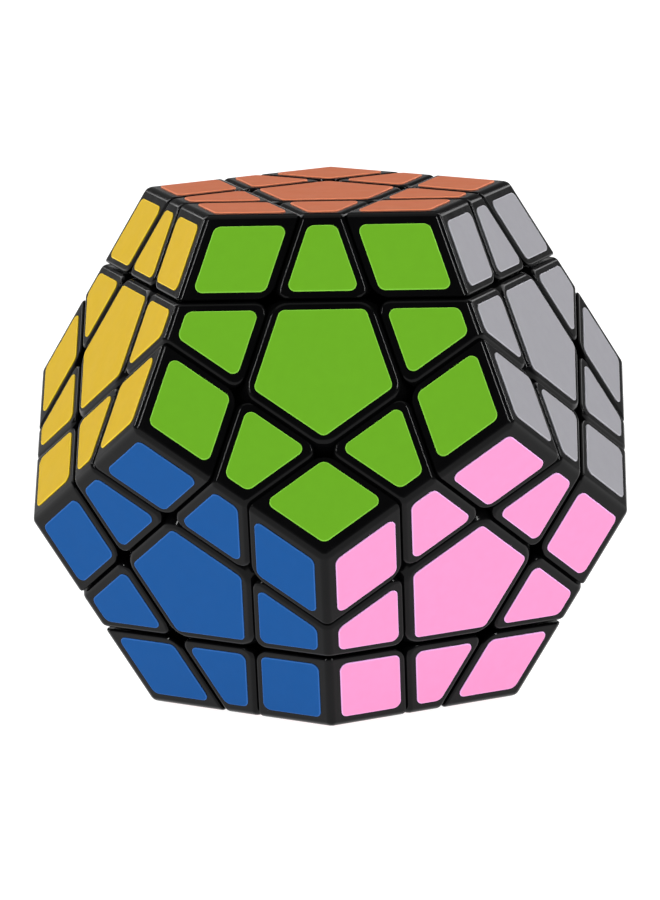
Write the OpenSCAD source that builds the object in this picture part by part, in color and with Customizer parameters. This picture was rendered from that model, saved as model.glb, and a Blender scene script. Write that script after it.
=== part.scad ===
// Dodecahedral twisty puzzle: 12 centres, 30 edges and 20 corners held on a core by sprung screws.
// +Z is up and -Y is the front. The origin is the middle of the bottom face, which the puzzle stands on.

/* [Outside] */
// Distance between two opposite faces, over the stickers
face_to_face = 70; // [69:0.5:72]
// Distance from the middle of the puzzle to the cut under each layer, as a share of half face_to_face
cut_ratio = 0.682; // [0.675:0.001:0.7]
// Gap between neighbouring pieces
piece_gap = 0.3; // [0.2:0.05:0.4]

/* [Stickers] */
// Thickness of the vinyl
sticker_t = 0.15; // [0.1:0.05:0.3]
// Bare plastic between a sticker and an outer edge of the puzzle
sticker_edge_inset = 1.65; // [1:0.05:2.5]
// Bare plastic between a sticker and a cut
sticker_cut_inset = 1.3; // [0.8:0.1:1.8]
// Corner radius of every sticker
sticker_corner_r = 1; // [0.5:0.1:1.4]

/* [Mechanism] */
// Half-angle of the cone that a layer's stems sweep
stem_angle = 44; // [43:0.5:45]
// Radius of the core's ball
core_ball_r = 10; // [9:0.5:11]
// Radius of each of the core's twelve arms
core_arm_r = 3.6; // [3.2:0.1:4]
// Distance from the middle of the core to the end of an arm
core_arm_end = 15; // [14.5:0.5:15]
// Radius of a centre's hollow leg
hub_leg_r = 4.4; // [4.2:0.1:4.5]

/* [Screws and springs] */
// Radius of the screw's shank
screw_r = 1.4; // [1.2:0.1:1.5]
// Radius of the screw's head
screw_head_r = 2.7; // [2.5:0.1:2.9]
// Depth of the screw's cross recess
recess_depth = 1; // [0.6:0.1:1.4]
// Outer radius of the spring
spring_r = 2.8; // [2.6:0.1:2.9]
// Thickness of the spring's wire
spring_wire = 0.6; // [0.4:0.1:0.7]
// Turns of the spring
spring_turns = 4.5; // [3:0.5:5]

/* [Hidden] */
$fn = 64;

half = face_to_face / 2;
plastic_half = half - sticker_t;
cut_d = cut_ratio * half;
half_gap = piece_gap / 2;
far = 60;
face_angle = atan(2);
sticker_arc_steps = 2;

// Places along a centre's axis, measured from the middle of the core
core_arm_root = 7.5;
hub_foot_z = core_arm_end + 0.3;
spring_seat_z = hub_foot_z + 2;
spring_end_z = spring_seat_z + 8.4;
washer_t = 0.6;
head_h = 2.2;
hub_floor_z = cut_d + 0.5;
pocket_z = spring_end_z + 1.4;
cap_z = plastic_half - 1.8;
screw_tip_z = 4;
spring_bore_r = spring_r + 0.4;
screw_bore_r = screw_r + 0.35;
pocket_inradius = 7.2;
plug_inradius = pocket_inradius - 0.15;
plug_wall = 1.1;
plug_h = 1.6;

// Feet and stems, measured out from the middle of the core along a piece's own axis
foot_z = 20;
edge_foot = [11, 5.8, 4.2];
edge_neck = [8, 5.8, 2];
edge_stem = [8, 11.2, 5.6];
edge_stem_z = 25.4;
corner_foot_r = [4.1, 4.9];
corner_foot_h = 4.3;
corner_stem_r = 2.5;
corner_stem_end = 33;

// The faces: top, five round the upper ring from the front, five round the lower ring, bottom
colour_names = ["orange", "green", "grey", "light_blue", "purple", "yellow",
                "pink", "cream", "dark_green", "white", "blue", "red"];
colour_values = ["#d2754f", "#6db52b", "#a3a3ab", "#5ab4e0", "#6a3fa0", "#e3bd33",
                 "#ff9fd6", "#f3ecc4", "#1f6b3a", "#f4f4f2", "#1660ad", "#c3202c"];
plastic_colour = "#151517";
top_face = 0;
front_face = 1;
right_face = 2;
left_face = 5;
bottom_face = 11;
faces = [top_face : bottom_face];
turning_faces = [left_face, right_face, bottom_face];
turning_names = ["left", "right", "bottom"];

function in_upper_ring(f) = f > 0 && f < 6;
function azimuth(f) = f == top_face || f == bottom_face ? 0 : in_upper_ring(f) ? 72 * (f - 1) : 36 + 72 * (f - 6);
function polar(f) = f == top_face ? 0 : f == bottom_face ? 180 : in_upper_ring(f) ? face_angle : 180 - face_angle;
function normal(f) = [sin(polar(f)) * sin(azimuth(f)), -sin(polar(f)) * cos(azimuth(f)), cos(polar(f))];
function adjacent(a, b) = abs(normal(a) * normal(b) - cos(face_angle)) < 0.001;
function neighbours(piece) = [for (g = faces) if (min([for (f = piece) adjacent(f, g) ? 1 : 0]) > 0) g];

// A piece is the list of the faces it shows: one for a centre, two for an edge, three for a corner
centres = [for (f = faces) [f]];
edges = [for (a = faces, b = faces) if (a < b && adjacent(a, b)) [a, b]];
corners = [for (e = edges, c = faces) if (e[1] < c && adjacent(e[0], c) && adjacent(e[1], c)) [e[0], e[1], c]];
pieces = concat(centres, edges, corners);

// The layer that a piece turns with: a turning face, or -1 where it stays with the core
function shows(piece, f) = len([for (g = piece) if (g == f) g]) > 0;
function layer_of(piece) =
    let (found = [for (f = turning_faces) if (shows(piece, f)) f]) len(found) > 0 ? found[0] : -1;
function in_layer(list, layer) = [for (p = list) if (layer_of(p) == layer) p];

layers = [for (i = [0 : 2]) [turning_names[i], turning_faces[i]], ["fixed", -1]];
turning_corners = [for (f = turning_faces, c = in_layer(corners, f)) c];
function corner_name(c) =
    str("corner_", colour_names[c[0]], "_", colour_names[c[1]], "_", colour_names[c[2]]);
function hub_name(layer) = str(layer[0], "_centre_hub", layer[1] < 0 ? "s" : "");
function cap_name(layer) = str(layer[0], "_centre_cap", layer[1] < 0 ? "s" : "");
function edges_name(layer) = str(layer[0], "_edges");
function sticker_pieces(layer, f) = [for (p = in_layer(pieces, layer)) if (shows(p, f)) p];
// Each group of stickers: its node's name, its layer and the face it is on
sticker_groups = [for (l = layers, f = faces) if (len(sticker_pieces(l[1], f)) > 0)
                  [str(l[0], "_", colour_names[f], "_stickers"), l[1], f]];

function unit(v) = v / norm(v);

// Puts children that lie along +Z onto a face's axis, with one of the face's edges towards their +X
module on_face(f) {
    translate([0, 0, half])
        rotate([0, 0, azimuth(f) - 90])
            rotate([0, polar(f), 0])
                rotate([0, 0, in_upper_ring(f) ? 180 : 0])
                    children();
}

// Carries children that are drawn in place on the front face round to another face
module from_front(f) {
    on_face(f)
        rotate([0, 0, -180])
            rotate([0, -face_angle, 0])
                rotate([0, 0, 90])
                    translate([0, 0, -half])
                        children();
}

// Puts children that lie along +Z onto the axis of an edge or corner, with its first face towards their +X
module on_piece(piece) {
    a = normal(piece[0]);
    b = normal(piece[1]);
    z = unit(len(piece) == 3 ? a + b + normal(piece[2]) : a + b);
    x = unit(a - b);
    y = cross(z, x);
    multmatrix([[x[0], y[0], z[0], 0], [x[1], y[1], z[1], 0], [x[2], y[2], z[2], half]]) children();
}

// Everything between two heights along a face's axis
module slab(f, z0, z1) {
    on_face(f) translate([-far, -far, z0]) cube([2 * far, 2 * far, z1 - z0]);
}

// The cone that the stems of a face's layer sweep below its cut, which other pieces keep out of
module stem_sweep(f) {
    shift = half_gap / sin(stem_angle);
    top_z = cut_d + 1;
    on_face(f)
        translate([0, 0, core_arm_end])
            cylinder(r1 = (core_arm_end + shift) * tan(stem_angle),
                     r2 = (top_z + shift) * tan(stem_angle),
                     h = top_z - core_arm_end);
}

// The block of a piece: inside the layers of the faces it shows and outside its other neighbours' layers
module block(piece, floor_z, top_z) {
    others = neighbours(piece);
    difference() {
        intersection() {
            intersection_for(f = piece) slab(f, floor_z, top_z);
            intersection_for(f = concat(others, len(others) == 0 ? piece : []))
                slab(f, -far, len(others) == 0 ? far : cut_d - half_gap);
        }
        for (f = others) stem_sweep(f);
    }
}

// A box along +Z whose middle is on the axis
module bar(size, z) translate([-size[0] / 2, -size[1] / 2, z]) cube(size);

module corner(c) {
    color(plastic_colour) {
        block(c, cut_d + half_gap, plastic_half);
        on_piece(c) {
            translate([0, 0, foot_z]) cylinder(r1 = corner_foot_r[0], r2 = corner_foot_r[1], h = corner_foot_h);
            translate([0, 0, foot_z + 1]) cylinder(r = corner_stem_r, h = corner_stem_end - foot_z - 1);
        }
    }
}

module edge(e) {
    color(plastic_colour) {
        block(e, cut_d + half_gap, plastic_half);
        on_piece(e) {
            bar(edge_foot, foot_z);
            bar(edge_neck, foot_z + edge_foot[2] - 0.4);
            bar(edge_stem, edge_stem_z);
        }
    }
}

// A five-sided prism along +Z with an edge towards +X
module pentagon_prism(inradius, z0, z1) {
    translate([0, 0, z0])
        linear_extrude(z1 - z0)
            polygon([for (k = [0 : 4]) inradius / cos(36) * [cos(36 + 72 * k), sin(36 + 72 * k)]]);
}

module centre_hub(f) {
    color(plastic_colour)
        from_front(f)
            difference() {
                union() {
                    block([front_face], hub_floor_z, cap_z);
                    on_face(front_face)
                        translate([0, 0, hub_foot_z]) cylinder(r = hub_leg_r, h = hub_floor_z + 1 - hub_foot_z);
                }
                on_face(front_face) {
                    translate([0, 0, hub_foot_z - 1]) cylinder(r = screw_bore_r, h = half);
                    translate([0, 0, spring_seat_z]) cylinder(r = spring_bore_r, h = half);
                    pentagon_prism(pocket_inradius, pocket_z, half);
                }
            }
}

module centre_cap(f) {
    color(plastic_colour)
        difference() {
            union() {
                block([f], cap_z, plastic_half);
                on_face(f) pentagon_prism(plug_inradius, cap_z - plug_h, cap_z + 0.5);
            }
            on_face(f) pentagon_prism(plug_inradius - plug_wall, cap_z - plug_h - 1, cap_z);
        }
}

module core() {
    color("#3a3b3e")
        difference() {
            union() {
                translate([0, 0, half]) sphere(core_ball_r);
                for (f = faces)
                    on_face(f) translate([0, 0, core_arm_root]) cylinder(r = core_arm_r, h = core_arm_end - core_arm_root);
            }
            for (f = faces) on_face(f) translate([0, 0, screw_tip_z]) cylinder(r = screw_r, h = half);
        }
}

module tension_screw() {
    head_z = spring_end_z + washer_t;
    difference() {
        union() {
            translate([0, 0, screw_tip_z + 0.5]) cylinder(r = screw_r, h = head_z - screw_tip_z);
            translate([0, 0, head_z]) cylinder(r = screw_head_r, h = head_h);
        }
        for (a = [0, 90])
            rotate([0, 0, a])
                translate([-screw_r, -0.35, head_z + head_h - recess_depth])
                    cube([2 * screw_r, 0.7, recess_depth + 1]);
    }
}

module screw_washer() {
    translate([0, 0, spring_end_z])
        difference() {
            cylinder(r = spring_bore_r - 0.2, h = washer_t);
            translate([0, 0, -1]) cylinder(r = screw_r + 0.1, h = washer_t + 2);
        }
}

// A helical spring of square wire, swept ring by ring
module tension_spring() {
    steps = round(10 * spring_turns);
    mid_r = spring_r - spring_wire / 2;
    rise = spring_end_z - spring_seat_z - spring_wire - 0.1;
    wire_corners = [[-1, -1], [1, -1], [1, 1], [-1, 1]] * spring_wire / 2;
    points = [for (i = [0 : steps], w = wire_corners)
        let (a = 360 * spring_turns * i / steps, r = mid_r + w[0])
        [r * cos(a), r * sin(a), spring_seat_z + 0.05 + spring_wire / 2 + rise * i / steps + w[1]]];
    walls = [for (i = [0 : steps - 1], j = [0 : 3])
        let (a = 4 * i + j, b = 4 * i + (j + 1) % 4)
        each [[a, a + 4, b + 4], [a, b + 4, b]]];
    polyhedron(points, concat([[0, 1, 2, 3]], walls, [[for (j = [3 : -1 : 0]) 4 * steps + j]]));
}

// Where two straight lines of the plane cross, each given as [angle of its normal, distance]
function crossing(p, q) =
    let (det = sin(q[0] - p[0]))
    [(p[1] * sin(q[0]) - q[1] * sin(p[0])) / det, (q[1] * cos(p[0]) - p[1] * cos(q[0])) / det];
// The arc that rounds corner b between a and c
function rounded_corner(a, b, c, r) =
    let (u = unit(a - b), v = unit(c - b), bisector = unit(u + v),
         centre = b + bisector * r / sin(acos(bisector * u)),
         start = b + u * ((centre - b) * u) - centre,
         finish = b + v * ((centre - b) * v) - centre)
    [for (i = [0 : sticker_arc_steps])
        centre + r * unit(start * (sticker_arc_steps - i) + finish * i)];
// The outline inside a list of lines, with its corners rounded
function outline(lines) =
    let (n = len(lines), p = [for (i = [0 : n - 1]) crossing(lines[i], lines[(i + 1) % n])])
    [for (i = [0 : n - 1]) each rounded_corner(p[(i + n - 1) % n], p[i], p[(i + 1) % n], sticker_corner_r)];

// Distances on a face from its middle to a cut and to an outer edge
face_cut = (cut_d - plastic_half * cos(face_angle)) / sin(face_angle);
face_edge = plastic_half * (1 - cos(face_angle)) / sin(face_angle);
// A sticker's outline, with the edge or corner that it is beside towards +X
centre_outline = outline([for (k = [0 : 4]) [72 * k, face_cut - sticker_cut_inset]]);
edge_outline = outline([
    [0, face_edge - sticker_edge_inset], [72, face_cut - sticker_cut_inset],
    [180, -face_cut - sticker_cut_inset], [288, face_cut - sticker_cut_inset]]);
corner_outline = outline([
    [-36, face_edge - sticker_edge_inset], [36, face_edge - sticker_edge_inset],
    [144, -face_cut - sticker_cut_inset], [216, -face_cut - sticker_cut_inset]]);

// The directions on a face that become its +X and +Y, and the bearing there of a piece that shows it
function face_x(f) =
    let (s = in_upper_ring(f) ? -1 : 1)
    s * [cos(polar(f)) * sin(azimuth(f)), -cos(polar(f)) * cos(azimuth(f)), -sin(polar(f))];
function bearing(piece, f) =
    let (x = face_x(f), y = cross(normal(f), x),
         towards = [for (g = piece) if (g != f) normal(g)],
         sum = len(towards) == 2 ? towards[0] + towards[1] : towards[0])
    atan2(sum * y, sum * x);

module sticker(piece, f) {
    color(colour_values[f])
        on_face(f)
            translate([0, 0, plastic_half])
                rotate([0, 0, len(piece) == 1 ? 0 : bearing(piece, f)])
                    linear_extrude(sticker_t)
                        polygon([centre_outline, edge_outline, corner_outline][len(piece) - 1]);
}

core();
color("silver") for (f = faces) on_face(f) tension_screw();  // tension_screws
color("gainsboro") for (f = faces) on_face(f) screw_washer();  // screw_washers
color("gray") for (f = faces) on_face(f) tension_spring();  // tension_springs
for (l = layers) {
    for (p = in_layer(centres, l[1])) centre_hub(p[0]);
    for (p = in_layer(centres, l[1])) centre_cap(p[0]);
    for (p = in_layer(edges, l[1])) edge(p);
}
for (c = turning_corners) corner(c);
for (c = in_layer(corners, -1)) corner(c);  // fixed_corners
for (g = sticker_groups)
    for (p = sticker_pieces(g[1], g[2])) sticker(p, g[2]);
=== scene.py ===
"""Looks of the dodecahedron twisty puzzle: rounded plastic pieces, vinyl stickers and the sprung core."""

import math
from itertools import combinations

import bmesh
import bpy
from mathutils import Matrix, Vector


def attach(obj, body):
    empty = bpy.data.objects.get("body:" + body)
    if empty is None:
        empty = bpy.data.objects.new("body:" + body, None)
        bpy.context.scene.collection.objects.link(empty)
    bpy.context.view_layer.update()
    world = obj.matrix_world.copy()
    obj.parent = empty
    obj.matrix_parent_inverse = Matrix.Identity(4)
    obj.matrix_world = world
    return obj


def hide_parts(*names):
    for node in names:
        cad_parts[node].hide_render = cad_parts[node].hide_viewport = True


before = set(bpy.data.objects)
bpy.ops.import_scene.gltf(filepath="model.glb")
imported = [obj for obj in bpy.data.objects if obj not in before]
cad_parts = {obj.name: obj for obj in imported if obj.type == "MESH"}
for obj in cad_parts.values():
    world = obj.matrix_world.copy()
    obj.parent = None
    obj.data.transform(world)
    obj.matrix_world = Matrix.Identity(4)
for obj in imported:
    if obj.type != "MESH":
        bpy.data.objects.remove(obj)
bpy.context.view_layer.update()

# --------------------------------------------------------------------------------------------------
# Dimensions, in metres
MM = 0.001
HALF = 35 * MM
MIDDLE = Vector((0, 0, HALF))
STICKER_T = 0.15 * MM
PLASTIC_HALF = HALF - STICKER_T
CUT = 0.682 * HALF
HALF_GAP = 0.15 * MM
FACE_ANGLE = math.atan(2)
EDGE_TILT = FACE_ANGLE / 2
CORNER_TILT = math.acos(math.sqrt((5 + 2 * math.sqrt(5)) / 15))
STEM_ANGLE = math.radians(44)

# Rounding of a piece's upright edges, of its edges between shown faces, and of its rims along the cuts
OUTLINE_ROUNDING = 2 * MM
EDGE_ROUNDING = 0.85 * MM
RIM_ROUNDING = 0.55 * MM
OUTLINE_STEPS = 6
EDGE_STEPS = 5
RIM_STEPS = 3
SHARP_RIM = math.radians(35)
CREASE = math.radians(38)

# A centre's parts: heights along its axis from the middle of the core, and radii
ARM_END = 15 * MM
HUB_FOOT = ARM_END + 0.3 * MM
SPRING_SEAT = HUB_FOOT + 2 * MM
SPRING_END = SPRING_SEAT + 8.4 * MM
HUB_FLOOR = CUT + 0.5 * MM
POCKET_FLOOR = SPRING_END + 1.4 * MM
CAP_SEAM = PLASTIC_HALF - 1.8 * MM
HALF_SEAM = 0.01 * MM
HUB_LEG_R = 4.4 * MM
SCREW_BORE_R = 1.75 * MM
SPRING_R = 2.8 * MM
SPRING_WIRE = 0.6 * MM
SPRING_TURNS = 4.5
SPRING_CLEARANCE = 0.05 * MM
CLOSED_SHARE = 0.14
CLOSED_RISE = 0.06
SPRING_BORE_R = SPRING_R + 0.4 * MM
POCKET_R = 7.2 * MM
PLUG_R = POCKET_R - 0.15 * MM
PLUG_WALL = 1.1 * MM
PLUG_H = 1.6 * MM
PLUG_OVERLAP = 0.5 * MM
LEG_OVERLAP = 1.2 * MM

# Feet and stems, as (width, depth, height) or radii, from the middle of the core
FOOT_Z = 20 * MM
EDGE_FOOT = (11 * MM, 5.8 * MM, 4.2 * MM)
EDGE_NECK = (8 * MM, 5.8 * MM, 2 * MM)
EDGE_STEM = (8 * MM, 11.2 * MM, 5.6 * MM)
EDGE_STEM_Z = 25.4 * MM
CORNER_FOOT_R = (4.1 * MM, 4.9 * MM)
CORNER_FOOT_H = 4.3 * MM
CORNER_STEM_R = 2.5 * MM
CORNER_STEM_END = 33 * MM
FOOT_ROUNDING = 0.35 * MM
FOOT_OVERLAP = 0.4 * MM

# Stickers: bare plastic left at an outer edge and at a cut, the rolled rim, the band round it painted paler
# as a highlight, and corner radii
EDGE_INSET = 1.65 * MM
CUT_INSET = 1.3 * MM
RIM = 0.07 * MM
# the width of the band round a sticker's edge that is painted paler as a highlight
PAINTED_HIGHLIGHT_BAND = 0.17 * MM
ARC_STEPS = 7
TIGHT_R = 0.95 * MM
LOOSE_R = 1.2 * MM

FLOOR_SIZE = 12
FLOOR_DROP = 0.2 * MM

# The camera's bearing, height and roll, its place from the core's middle, and its lens and sensor in mm
CAMERA_SIDE = math.radians(1.63)
CAMERA_UP = math.radians(10.1)
CAMERA_ROLL = math.radians(-1.17)
CAMERA_BACK = 930.9 * MM
CAMERA_RIGHT = -0.17 * MM
CAMERA_RISE = -1.32 * MM
LENS = 366
SENSOR = 36

# --------------------------------------------------------------------------------------------------
# The faces: top, five round the upper ring from the front, five round the lower ring, bottom
COLOURS = ["orange", "green", "grey", "light_blue", "purple", "yellow",
           "pink", "cream", "dark_green", "white", "blue", "red"]
FACES = range(len(COLOURS))
TOP, BOTTOM = 0, 11
TURNING = {5: "left", 2: "right", BOTTOM: "bottom"}


def in_upper_ring(f):
    return TOP < f < 6


def azimuth(f):
    if f in (TOP, BOTTOM):
        return 0
    return math.radians(72 * (f - 1) if in_upper_ring(f) else 36 + 72 * (f - 6))


def polar(f):
    if f == TOP:
        return 0
    if f == BOTTOM:
        return math.pi
    return FACE_ANGLE if in_upper_ring(f) else math.pi - FACE_ANGLE


def face_turn(f):
    """The rotation that carries +Z to a face's normal, with one of the face's edges towards +X."""
    spin = math.pi if in_upper_ring(f) else 0
    return (Matrix.Rotation(azimuth(f) - math.pi / 2, 4, "Z")
            @ Matrix.Rotation(polar(f), 4, "Y")
            @ Matrix.Rotation(spin, 4, "Z"))


def normal(f):
    return face_turn(f).to_3x3() @ Vector((0, 0, 1))


def adjacent(a, b):
    return abs(normal(a).dot(normal(b)) - math.cos(FACE_ANGLE)) < 0.001


CENTRES = [(f,) for f in FACES]
EDGES = [pair for pair in combinations(FACES, 2) if adjacent(*pair)]
CORNERS = [trio for trio in combinations(FACES, 3) if all(adjacent(*pair) for pair in combinations(trio, 2))]


def piece_turn(piece):
    """The rotation that carries +Z to an edge's or corner's axis, with its first face towards +X."""
    a, b = normal(piece[0]), normal(piece[1])
    z = sum((normal(f) for f in piece), Vector()).normalized()
    x = (a - b).normalized()
    return Matrix((x, z.cross(x), z)).transposed().to_4x4()


def layer_of(piece):
    for f, layer in TURNING.items():
        if f in piece:
            return layer
    return "fixed"


def body_of(piece):
    layer = layer_of(piece)
    return "fixed_frame" if layer == "fixed" else layer + "_layer"


def colours_of(piece):
    return "_".join(COLOURS[f] for f in piece)


# --------------------------------------------------------------------------------------------------
# Materials. Noise scales are in features per metre
BUMP_HEIGHT = 0.02 * MM
ALONG_Z = (1, 1, 0.25)
DRAWN_ALONG_Z = (1, 1, 0.1)


def node_material(name, colour, roughness):
    material = bpy.data.materials.new(name)
    material.use_nodes = True
    shader = material.node_tree.nodes["Principled BSDF"]
    shader.inputs["Base Color"].default_value = (*colour, 1)
    shader.inputs["Roughness"].default_value = roughness
    return material, material.node_tree, shader


def object_coordinates(tree):
    return tree.nodes.new("ShaderNodeTexCoord").outputs["Object"]


def noise_of(tree, scale, detail, stretch=(1, 1, 1)):
    mapping = tree.nodes.new("ShaderNodeMapping")
    mapping.inputs["Scale"].default_value = stretch
    texture = tree.nodes.new("ShaderNodeTexNoise")
    texture.inputs["Scale"].default_value = scale
    texture.inputs["Detail"].default_value = detail
    tree.links.new(object_coordinates(tree), mapping.inputs["Vector"])
    tree.links.new(mapping.outputs["Vector"], texture.inputs["Vector"])
    return texture.outputs["Fac"]


def spread(tree, factor, low, high):
    """A noise's middle range, stretched from low to high."""
    span = tree.nodes.new("ShaderNodeMapRange")
    span.inputs["From Min"].default_value = 0.3
    span.inputs["From Max"].default_value = 0.7
    span.inputs["To Min"].default_value = low
    span.inputs["To Max"].default_value = high
    tree.links.new(factor, span.inputs["Value"])
    return span.outputs["Result"]


def add_bump(tree, shader, factor, strength):
    bump = tree.nodes.new("ShaderNodeBump")
    bump.inputs["Strength"].default_value = strength
    bump.inputs["Distance"].default_value = BUMP_HEIGHT
    tree.links.new(factor, bump.inputs["Height"])
    tree.links.new(bump.outputs["Normal"], shader.inputs["Normal"])


def mix_colours(tree, factor, first, second):
    """The first colour, or a node's output, turning into the second as the factor goes from 0 to 1."""
    mix = tree.nodes.new("ShaderNodeMix")
    mix.data_type = "RGBA"
    sockets = {s.identifier: s for s in mix.inputs}
    tree.links.new(factor, sockets["Factor_Float"])
    if isinstance(first, bpy.types.NodeSocket):
        tree.links.new(first, sockets["A_Color"])
    else:
        sockets["A_Color"].default_value = (*first, 1)
    sockets["B_Color"].default_value = (*second, 1)
    return next(s for s in mix.outputs if s.identifier == "Result_Color")


def moulded_plastic(name, colour, roughness, grain):
    """Injection-moulded plastic: a fine grain, slightly uneven gloss, and faint rubbed streaks."""
    material, tree, shader = node_material(name, colour, roughness)
    shader.inputs["Specular IOR Level"].default_value = 0.12
    worn = tuple(c * 1.3 + 0.0005 for c in colour)
    wear = spread(tree, noise_of(tree, 160, 5), 0, 1)
    gloss = spread(tree, noise_of(tree, 420, 4, ALONG_Z), roughness - 0.05, roughness + 0.07)
    tree.links.new(mix_colours(tree, wear, colour, worn), shader.inputs["Base Color"])
    tree.links.new(gloss, shader.inputs["Roughness"])
    add_bump(tree, shader, noise_of(tree, 2600, 3), grain)
    return material


def metal(name, colour, roughness):
    """Plated or drawn steel with fine lengthwise marks."""
    material, tree, shader = node_material(name, colour, roughness)
    shader.inputs["Metallic"].default_value = 1
    gloss = spread(tree, noise_of(tree, 1500, 4, DRAWN_ALONG_Z), roughness - 0.08, roughness + 0.1)
    tree.links.new(gloss, shader.inputs["Roughness"])
    add_bump(tree, shader, noise_of(tree, 3000, 2, DRAWN_ALONG_Z), 0.1)
    return material


def vinyl(name, colour):
    """Printed vinyl: a soft sheen over a fine orange peel, faint mottling, and a painted highlight: a band
    round its cut rim painted paler.
    """
    material, tree, shader = node_material(name, colour, 0.45)
    shader.inputs["Specular IOR Level"].default_value = 0.08
    # painted highlight: the band round the cut rim is painted a paler colour, as if its edge caught the light
    painted_highlight_colour = tuple(min(1, c * 1.5 + 0.03) for c in colour)
    mottled = tuple(c * 0.965 for c in colour)
    body = mix_colours(tree, spread(tree, noise_of(tree, 700, 6), 0, 1), colour, mottled)
    painted_rim_highlight = tree.nodes.new("ShaderNodeAttribute")
    painted_rim_highlight.attribute_name = "painted_rim_highlight"
    tree.links.new(mix_colours(tree, painted_rim_highlight.outputs["Fac"], body, painted_highlight_colour), shader.inputs["Base Color"])
    tree.links.new(spread(tree, noise_of(tree, 300, 4), 0.38, 0.47), shader.inputs["Roughness"])
    add_bump(tree, shader, noise_of(tree, 1800, 4), 0.12)
    return material


def linear(red, green, blue):
    """A screen colour, 0 to 255, as the shader's linear light."""
    def one(value):
        value /= 255
        return value / 12.92 if value <= 0.04045 else ((value + 0.055) / 1.055) ** 2.4
    return one(red), one(green), one(blue)


VINYL_COLOURS = {
    "orange": linear(214, 122, 86),
    "green": linear(108, 174, 37),
    "grey": linear(157, 156, 162),
    "light_blue": linear(90, 180, 224),
    "purple": linear(106, 63, 160),
    "yellow": linear(217, 178, 18),
    "pink": linear(255, 154, 205),
    "cream": linear(243, 236, 196),
    "dark_green": linear(31, 107, 58),
    "white": linear(240, 240, 238),
    "blue": linear(3, 81, 151),
    "red": linear(195, 32, 44),
}
BLACK = moulded_plastic("black_abs", (0.0018, 0.0018, 0.002), 0.12, 0.04)
CORE = moulded_plastic("grey_nylon", (0.045, 0.046, 0.052), 0.5, 0.25)
ZINC = metal("zinc_plated_steel", (0.62, 0.62, 0.64), 0.3)
WIRE = metal("spring_wire", (0.45, 0.45, 0.47), 0.28)
VINYL = {name: vinyl("vinyl_" + name, colour) for name, colour in VINYL_COLOURS.items()}


# --------------------------------------------------------------------------------------------------
# Mesh tools
# Points closer than this, in metres, are one point
NEAR = 1e-6


def new_object(name, mesh):
    piece = bpy.data.objects.new(name, mesh)
    bpy.context.scene.collection.objects.link(piece)
    return piece


def mesh_from(bm, name):
    bmesh.ops.recalc_face_normals(bm, faces=bm.faces)
    mesh = bpy.data.meshes.new(name)
    bm.to_mesh(mesh)
    bm.free()
    return mesh


def polytope(planes):
    """The solid inside every plane, each given as (outward normal, distance from the origin)."""
    points = []
    for trio in combinations(planes, 3):
        matrix = Matrix([n for n, _ in trio])
        if abs(matrix.determinant()) < 0.001:
            continue
        point = matrix.inverted() @ Vector([d for _, d in trio])
        inside = all(n.dot(point) <= d + NEAR for n, d in planes)
        if inside and all((point - q).length > NEAR for q in points):
            points.append(point)
    bm = bmesh.new()
    verts = [bm.verts.new(point) for point in points]
    for n, d in planes:
        ring = [v for v in verts if abs(n.dot(v.co) - d) < NEAR]
        middle = sum((v.co for v in ring), Vector()) / len(ring)
        x = (ring[0].co - middle).normalized()
        y = n.cross(x)
        bm.faces.new(sorted(ring, key=lambda v: math.atan2(y.dot(v.co - middle), x.dot(v.co - middle))))
    return bm


def round_edges(bm, edges, offset, steps):
    bmesh.ops.bevel(bm, geom=edges, offset=offset, segments=steps, profile=0.5, affect="EDGES",
                    clamp_overlap=True)
    bm.normal_update()


def cone(r1, r2, z0, z1, steps=64, turn=Matrix.Identity(4)):
    """A cylinder, cone or prism along the +Z of turn."""
    bm = bmesh.new()
    bmesh.ops.create_cone(bm, cap_ends=True, segments=steps, radius1=r1, radius2=r2, depth=z1 - z0,
                          matrix=turn @ Matrix.Translation((0, 0, (z0 + z1) / 2)))
    return bm


def pentagon(inradius, z0, z1):
    """A pentagonal prism with one side towards +X."""
    circumradius = inradius / math.cos(math.pi / 5)
    bm = cone(circumradius, circumradius, z0, z1, steps=5)
    tip = max((v.co.xy for v in bm.verts), key=lambda p: p.x)
    spin = math.pi / 5 - math.atan2(tip.y, tip.x)
    bmesh.ops.rotate(bm, verts=bm.verts, matrix=Matrix.Rotation(spin, 3, "Z"))
    return bm


def bar(size, z):
    """A bar of a size, centred on the axis from a height up, with rounded edges."""
    bm = bmesh.new()
    bmesh.ops.create_cube(bm, size=1)
    bmesh.ops.scale(bm, vec=size, verts=bm.verts)
    bmesh.ops.translate(bm, vec=(0, 0, z + size[2] / 2), verts=bm.verts)
    round_edges(bm, list(bm.edges), FOOT_ROUNDING, 2)
    return bm


def combine(base, steps):
    """The mesh of base after boolean steps, each ("UNION" or "DIFFERENCE", mesh)."""
    body = new_object("template", base)
    cutters = []
    for operation, bm in steps:
        cutter = new_object("cutter", mesh_from(bm, "cutter"))
        cutters.append(cutter)
        modifier = body.modifiers.new("boolean", "BOOLEAN")
        modifier.operation = operation
        modifier.solver = "EXACT"
        modifier.object = cutter
    result = evaluated(body)
    for piece in [body, *cutters]:
        bpy.data.objects.remove(piece)
    return result


def evaluated(piece):
    graph = bpy.context.evaluated_depsgraph_get()
    return bpy.data.meshes.new_from_object(piece.evaluated_get(graph), depsgraph=graph)


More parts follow.
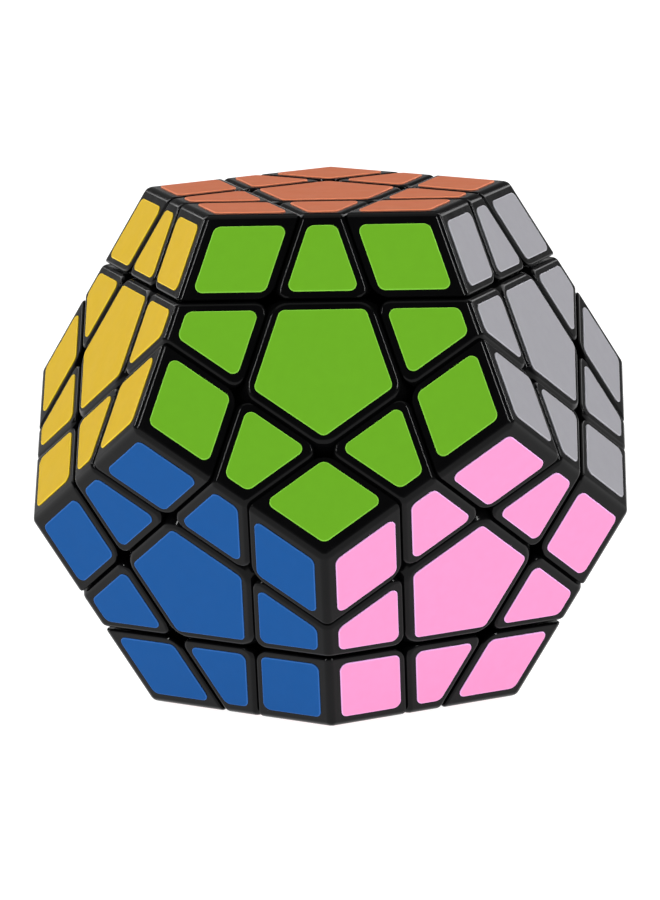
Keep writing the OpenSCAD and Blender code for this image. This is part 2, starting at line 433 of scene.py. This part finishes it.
def finish_template(mesh):
    """Merges what the cuts left doubled, marks the creases that stay crisp, and weights the normals."""
    bm = bmesh.new()
    bm.from_mesh(mesh)
    bmesh.ops.remove_doubles(bm, verts=bm.verts, dist=NEAR)
    bmesh.ops.dissolve_degenerate(bm, edges=bm.edges, dist=NEAR)
    bm.normal_update()
    for face in bm.faces:
        face.smooth = True
    for edge in bm.edges:
        edge.smooth = len(edge.link_faces) == 2 and edge.calc_face_angle(0) < CREASE
    bm.to_mesh(mesh)
    bm.free()
    body = new_object("template", mesh)
    weighting = body.modifiers.new("weighted normals", "WEIGHTED_NORMAL")
    weighting.keep_sharp = True
    weighting.weight = 60
    result = evaluated(body)
    bpy.data.objects.remove(body)
    return result


def place(template, name, matrix, body, nodes, material):
    """A copy of a template in its own place, riding on its body and standing for its CAD nodes."""
    mesh = template.copy()
    mesh.name = name
    mesh.transform(Matrix.Translation(MIDDLE) @ matrix)
    mesh.materials.clear()
    mesh.materials.append(material)
    piece = new_object(name, mesh)
    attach(piece, body)
    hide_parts(*nodes)


# --------------------------------------------------------------------------------------------------
# Templates, each drawn about the middle of the core
def tilted(tilt, bearing):
    """The direction at an angle from +Z, at a bearing from +X."""
    return Vector((math.sin(tilt) * math.cos(bearing), math.sin(tilt) * math.sin(bearing), math.cos(tilt)))


def stem_sweep(direction):
    """The cone that a neighbouring layer's stems sweep, which this piece keeps out of."""
    shift = HALF_GAP / math.sin(STEM_ANGLE)
    top = CUT + MM
    turn = Vector((0, 0, 1)).rotation_difference(direction).to_matrix().to_4x4()
    return cone((ARM_END + shift) * math.tan(STEM_ANGLE), (top + shift) * math.tan(STEM_ANGLE),
                ARM_END, top, steps=96, turn=turn)


def block(shown, others, floor=None):
    """A piece's rounded outer block: in the layers of the faces it shows, and out of the others'."""
    planes = [(n, PLASTIC_HALF) for n in shown]
    planes += [(-n, -(floor or CUT + HALF_GAP)) for n in shown]
    planes += [(n, CUT - HALF_GAP) for n in others]
    bm = polytope(planes)
    bm.normal_update()

    def shows(face):
        return any(face.normal.dot(n) > 0.999 for n in shown)

    # the outline's upright edges first, then the edges between shown faces, then the rims that are left
    upright = [e for e in bm.edges if not any(shows(f) for f in e.link_faces)
               and any(any(shows(f) for f in v.link_faces) for v in e.verts)]
    round_edges(bm, upright, OUTLINE_ROUNDING, OUTLINE_STEPS)
    between = [e for e in bm.edges if all(shows(f) for f in e.link_faces)]
    round_edges(bm, between, EDGE_ROUNDING, EDGE_STEPS)
    rims = [e for e in bm.edges if e.calc_face_angle(0) > SHARP_RIM]
    round_edges(bm, rims, RIM_ROUNDING, RIM_STEPS)
    return bm


def sliced(bm, height, keep_above):
    """The part of a mesh above or below a height, closed with a flat face."""
    bmesh.ops.bisect_plane(bm, geom=[*bm.verts, *bm.edges, *bm.faces], plane_co=(0, 0, height),
                           plane_no=(0, 0, 1), clear_inner=keep_above, clear_outer=not keep_above)
    bmesh.ops.holes_fill(bm, edges=[e for e in bm.edges if e.is_boundary])
    return bm


CENTRE_OTHERS = [tilted(FACE_ANGLE, math.radians(72 * k)) for k in range(5)]


def centre_block():
    return block([Vector((0, 0, 1))], CENTRE_OTHERS, HUB_FLOOR)


def hub_template():
    base = mesh_from(sliced(centre_block(), CAP_SEAM - HALF_SEAM, False), "hub")
    leg = cone(HUB_LEG_R, HUB_LEG_R, HUB_FOOT, HUB_FLOOR + LEG_OVERLAP)
    steps = [("DIFFERENCE", stem_sweep(n)) for n in CENTRE_OTHERS]
    steps += [("UNION", leg),
              ("DIFFERENCE", pentagon(POCKET_R, POCKET_FLOOR, HALF)),
              ("DIFFERENCE", cone(SPRING_BORE_R, SPRING_BORE_R, SPRING_SEAT, HALF)),
              ("DIFFERENCE", cone(SCREW_BORE_R, SCREW_BORE_R, ARM_END - MM, HALF))]
    return finish_template(combine(base, steps))


def cap_template():
    base = mesh_from(sliced(centre_block(), CAP_SEAM + HALF_SEAM, True), "cap")
    steps = [("UNION", pentagon(PLUG_R, CAP_SEAM - PLUG_H, CAP_SEAM + PLUG_OVERLAP)),
             ("DIFFERENCE", pentagon(PLUG_R - PLUG_WALL, CAP_SEAM - PLUG_H - MM, CAP_SEAM))]
    return finish_template(combine(base, steps))


def edge_template():
    shown = [tilted(EDGE_TILT, 0), tilted(EDGE_TILT, math.pi)]
    side = math.acos(math.cos(FACE_ANGLE) / math.cos(EDGE_TILT))
    others = [tilted(side, math.pi / 2), tilted(side, -math.pi / 2)]
    base = mesh_from(block(shown, others), "edge")
    steps = [("DIFFERENCE", stem_sweep(n)) for n in others]
    steps += [("UNION", bar(EDGE_STEM, EDGE_STEM_Z)),
              ("UNION", bar(EDGE_NECK, FOOT_Z + EDGE_FOOT[2] - FOOT_OVERLAP)),
              ("UNION", bar(EDGE_FOOT, FOOT_Z))]
    return finish_template(combine(base, steps))


def corner_template():
    """A corner whose third face is towards -Y."""
    shown = [tilted(CORNER_TILT, math.radians(b)) for b in (30, 150, -90)]
    base = mesh_from(block(shown, []), "corner")
    foot = cone(*CORNER_FOOT_R, FOOT_Z, FOOT_Z + CORNER_FOOT_H)
    stem = cone(CORNER_STEM_R, CORNER_STEM_R, FOOT_Z + MM, CORNER_STEM_END)
    return finish_template(combine(base, [("UNION", stem), ("UNION", foot)]))


def corner_turn(corner):
    """piece_turn, with a half turn where the corner's third face is on the template's other side."""
    turn = piece_turn(corner)
    side = normal(corner[2]).dot(turn.to_3x3() @ Vector((0, 1, 0)))
    return turn @ Matrix.Rotation(math.pi, 4, "Z") if side > 0 else turn


def make_plastic():
    hub, cap, edge, corner = hub_template(), cap_template(), edge_template(), corner_template()
    for piece in CENTRES:
        layer = layer_of(piece)
        plural = "s" if layer == "fixed" else ""
        for kind, template in (("hub", hub), ("cap", cap)):
            place(template, f"centre_{kind}_{colours_of(piece)}", face_turn(piece[0]), body_of(piece),
                  [f"{layer}_centre_{kind}{plural}"], BLACK)
    for piece in EDGES:
        place(edge, "edge_piece_" + colours_of(piece), piece_turn(piece), body_of(piece),
              [layer_of(piece) + "_edges"], BLACK)
    for piece in CORNERS:
        node = "fixed_corners" if layer_of(piece) == "fixed" else "corner_" + colours_of(piece)
        place(corner, "corner_piece_" + colours_of(piece), corner_turn(piece), body_of(piece),
              [node], BLACK)


# --------------------------------------------------------------------------------------------------
# Stickers
def crossing(p, q):
    """Where two lines of the plane cross, each given as (angle of its normal, distance)."""
    det = math.sin(q[0] - p[0])
    return Vector(((p[1] * math.sin(q[0]) - q[1] * math.sin(p[0])) / det,
                   (q[1] * math.cos(p[0]) - p[1] * math.cos(q[0])) / det))


def rounded_outline(lines, radii, inset):
    """The outline inside the lines, moved in by inset, with its corners rounded."""
    moved = [(angle, distance - inset) for angle, distance in lines]
    count = len(moved)
    tips = [crossing(moved[i], moved[(i + 1) % count]) for i in range(count)]
    points = []
    for i, tip in enumerate(tips):
        radius = radii[i] - inset
        u = (tips[i - 1] - tip).normalized()
        v = (tips[(i + 1) % count] - tip).normalized()
        bisector = (u + v).normalized()
        middle = tip + bisector * radius / math.sin(math.acos(bisector.dot(u)))
        start = tip + u * (middle - tip).dot(u) - middle
        finish = tip + v * (middle - tip).dot(v) - middle
        sweep = start.angle_signed(finish)
        for k in range(ARC_STEPS + 1):
            angle = -sweep * k / ARC_STEPS
            points.append(middle + Matrix.Rotation(angle, 2) @ start)
    return points


FACE_CUT = (CUT - PLASTIC_HALF * math.cos(FACE_ANGLE)) / math.sin(FACE_ANGLE)
FACE_EDGE = PLASTIC_HALF * (1 - math.cos(FACE_ANGLE)) / math.sin(FACE_ANGLE)
# Lines and corner radii by the number of faces a piece shows, with its side of the face towards +X
STICKER_SHAPES = {
    1: ([(math.radians(72 * k), FACE_CUT - CUT_INSET) for k in range(5)], [TIGHT_R] * 5),
    2: ([(0, FACE_EDGE - EDGE_INSET), (math.radians(72), FACE_CUT - CUT_INSET),
         (math.pi, -FACE_CUT - CUT_INSET), (math.radians(288), FACE_CUT - CUT_INSET)],
        [LOOSE_R, TIGHT_R, TIGHT_R, LOOSE_R]),
    3: ([(math.radians(-36), FACE_EDGE - EDGE_INSET), (math.radians(36), FACE_EDGE - EDGE_INSET),
         (math.radians(144), -FACE_CUT - CUT_INSET), (math.radians(216), -FACE_CUT - CUT_INSET)],
        [LOOSE_R, TIGHT_R, LOOSE_R, TIGHT_R]),
}


def sticker_template(shape):
    """A thin vinyl sheet with a rolled rim. Its attribute for the painted highlight is 1 in a band round its
    edge, where the vinyl is painted paler.
    """
    lines, radii = STICKER_SHAPES[shape]
    rings = [(0, 0, 1), (0, STICKER_T - RIM, 1), (RIM, STICKER_T, 1), (PAINTED_HIGHLIGHT_BAND, STICKER_T, 0)]
    bm = bmesh.new()
    # the painted highlight band: 1 at the rim, fading to 0 inside it
    layer = bm.verts.layers.float.new("painted_rim_highlight")
    loops = []
    for inset, z, painted_rim_highlight in rings:
        loop = [bm.verts.new((*point, z)) for point in rounded_outline(lines, radii, inset)]
        for vert in loop:
            vert[layer] = painted_rim_highlight
        loops.append(loop)
    for low, high in zip(loops, loops[1:]):
        for i in range(len(low)):
            j = (i + 1) % len(low)
            bm.faces.new((low[i], low[j], high[j], high[i]))
    bm.faces.new(loops[-1])
    bm.faces.new(loops[0][::-1])
    return finish_template(mesh_from(bm, "sticker"))


def bearing(piece, f):
    """The direction, in the plane of a face, from its middle to an edge or corner piece that shows it."""
    towards = face_turn(f).to_3x3().transposed() @ sum((normal(g) for g in piece if g != f), Vector())
    return math.atan2(towards.y, towards.x)


def sticker_name(piece, f):
    others = [COLOURS[g] for g in piece if g != f]
    kind = ("centre", "edge", "corner")[len(others)]
    return "_".join(["sticker", COLOURS[f], kind, *others])


def make_stickers():
    templates = {shape: sticker_template(shape) for shape in STICKER_SHAPES}
    for piece in [*CENTRES, *EDGES, *CORNERS]:
        for f in piece:
            turn = bearing(piece, f) if len(piece) > 1 else 0
            matrix = face_turn(f) @ Matrix.Translation((0, 0, PLASTIC_HALF)) @ Matrix.Rotation(turn, 4, "Z")
            place(templates[len(piece)], sticker_name(piece, f), matrix, body_of(piece),
                  [f"{layer_of(piece)}_{COLOURS[f]}_stickers"], VINYL[COLOURS[f]])


# --------------------------------------------------------------------------------------------------
# Core, screws, washers and springs
def spring_rise(share):
    """How far up the spring its wire is at a share of its length: slow in the closed end turns."""
    if share < CLOSED_SHARE:
        return CLOSED_RISE * share / CLOSED_SHARE
    if share > 1 - CLOSED_SHARE:
        return 1 - CLOSED_RISE * (1 - share) / CLOSED_SHARE
    return CLOSED_RISE + (1 - 2 * CLOSED_RISE) * (share - CLOSED_SHARE) / (1 - 2 * CLOSED_SHARE)


def spring_template():
    """A compression spring of round wire whose end turns lie closed."""
    steps, sides = 26, 10
    count = round(steps * SPRING_TURNS)
    wire_r = SPRING_WIRE / 2
    low = SPRING_SEAT + SPRING_CLEARANCE + wire_r
    high = SPRING_END - SPRING_CLEARANCE - wire_r
    up = Vector((0, 0, 1))
    round_wire = [2 * math.pi * k / sides for k in range(sides)]
    bm = bmesh.new()
    rings = []
    for i in range(count + 1):
        share = i / count
        angle = 2 * math.pi * SPRING_TURNS * share
        out = Vector((math.cos(angle), math.sin(angle), 0))
        centre = out * (SPRING_R - wire_r) + up * (low + (high - low) * spring_rise(share))
        rings.append([bm.verts.new(centre + wire_r * (out * math.cos(a) + up * math.sin(a)))
                      for a in round_wire])
    for a, b in zip(rings, rings[1:]):
        for k in range(sides):
            bm.faces.new((a[k], a[(k + 1) % sides], b[(k + 1) % sides], b[k]))
    bm.faces.new(rings[0][::-1])
    bm.faces.new(rings[-1])
    return finish_template(mesh_from(bm, "spring"))


def make_inside():
    spring = spring_template()
    for f in FACES:
        place(spring, "tension_spring_" + COLOURS[f], face_turn(f), "fixed_frame", ["tension_springs"],
              WIRE)
    for node, material in (("core", CORE), ("tension_screws", ZINC), ("screw_washers", ZINC)):
        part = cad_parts[node]
        part.data.materials.clear()
        part.data.materials.append(material)


# --------------------------------------------------------------------------------------------------
# Floor, light and camera
def make_floor():
    """A pale floor that glows, so that it stays as white and shadowless as a product shot."""
    bm = bmesh.new()
    bmesh.ops.create_grid(bm, x_segments=2, y_segments=2, size=FLOOR_SIZE / 2)
    floor = new_object("floor", mesh_from(bm, "floor"))
    material, tree, shader = node_material("pale_floor", (0.3, 0.3, 0.3), 0.6)
    shader.inputs["Emission Color"].default_value = (1, 1, 1, 1)
    shader.inputs["Emission Strength"].default_value = 1
    shader.inputs["Specular IOR Level"].default_value = 0
    tree.links.new(spread(tree, noise_of(tree, 40, 3), 0.58, 0.64), shader.inputs["Roughness"])
    floor.data.materials.append(material)
    floor.location.z = -FLOOR_DROP


def area_light(name, direction, distance, size, power):
    """A rectangular light that faces the puzzle's middle from a distance in metres, with a power in watts."""
    light = bpy.data.lights.new(name, "AREA")
    light.shape = "RECTANGLE"
    light.size, light.size_y = size
    light.energy = power
    lamp = bpy.data.objects.new(name, light)
    bpy.context.scene.collection.objects.link(lamp)
    towards = Vector(direction).normalized()
    lamp.location = MIDDLE + towards * distance
    lamp.rotation_euler = towards.to_track_quat("Z", "Y").to_euler()


def make_light():
    for side in (-1, 1):
        area_light("key_strip", (side * 0.64, -0.5, 0.59), 1, (0.05, 0.56), 4.1)
        area_light("back_strip", (side * 0.84, 0.26, 0.47), 1, (0.03, 0.3), 1.4)
        area_light("back_softbox", (side * 0.55, 0.65, 0.5), 1.2, (0.5, 0.7), 2.2)
    area_light("overhead_softbox", (0, 0.2, 0.98), 1.4, (1.5, 1.5), 4)
    world = bpy.data.worlds.new("studio")
    world.use_nodes = True
    tree = world.node_tree
    # white at the horizon, falling to a dim room above
    split = tree.nodes.new("ShaderNodeSeparateXYZ")
    tree.links.new(tree.nodes.new("ShaderNodeTexCoord").outputs["Generated"], split.inputs["Vector"])
    ramp = tree.nodes.new("ShaderNodeValToRGB")
    stops = ramp.color_ramp.elements
    stops[0].position, stops[0].color = 0.04, (1, 1, 1, 1)
    stops[1].position, stops[1].color = 0.4, (0.03, 0.03, 0.03, 1)
    middle = stops.new(0.1)
    middle.color = (0.25, 0.25, 0.25, 1)
    tree.links.new(split.outputs["Z"], ramp.inputs["Fac"])
    tree.links.new(ramp.outputs["Color"], tree.nodes["Background"].inputs["Color"])
    bpy.context.scene.world = world
    bpy.context.scene.view_settings.view_transform = "Standard"


def make_camera():
    """A long lens a little above the puzzle, slightly to its right, with the horizon a touch off level."""
    back = tilted(math.pi / 2 - CAMERA_UP, CAMERA_SIDE - math.pi / 2)
    right = Vector((math.cos(CAMERA_SIDE), math.sin(CAMERA_SIDE), 0))
    up = back.cross(right)
    turn = Matrix((right, up, back)).transposed().to_4x4() @ Matrix.Rotation(CAMERA_ROLL, 4, "Z")
    place_from_middle = turn @ Vector((CAMERA_RIGHT, CAMERA_RISE, CAMERA_BACK))
    data = bpy.data.cameras.new("camera")
    data.sensor_fit = "HORIZONTAL"
    data.sensor_width = SENSOR
    data.lens = LENS
    camera = bpy.data.objects.new("camera", data)
    bpy.context.scene.collection.objects.link(camera)
    camera.matrix_world = Matrix.Translation(MIDDLE + place_from_middle) @ turn
    bpy.context.scene.camera = camera


make_plastic()
make_stickers()
make_inside()
make_floor()
make_light()
make_camera()

bpy.context.view_layer.update()
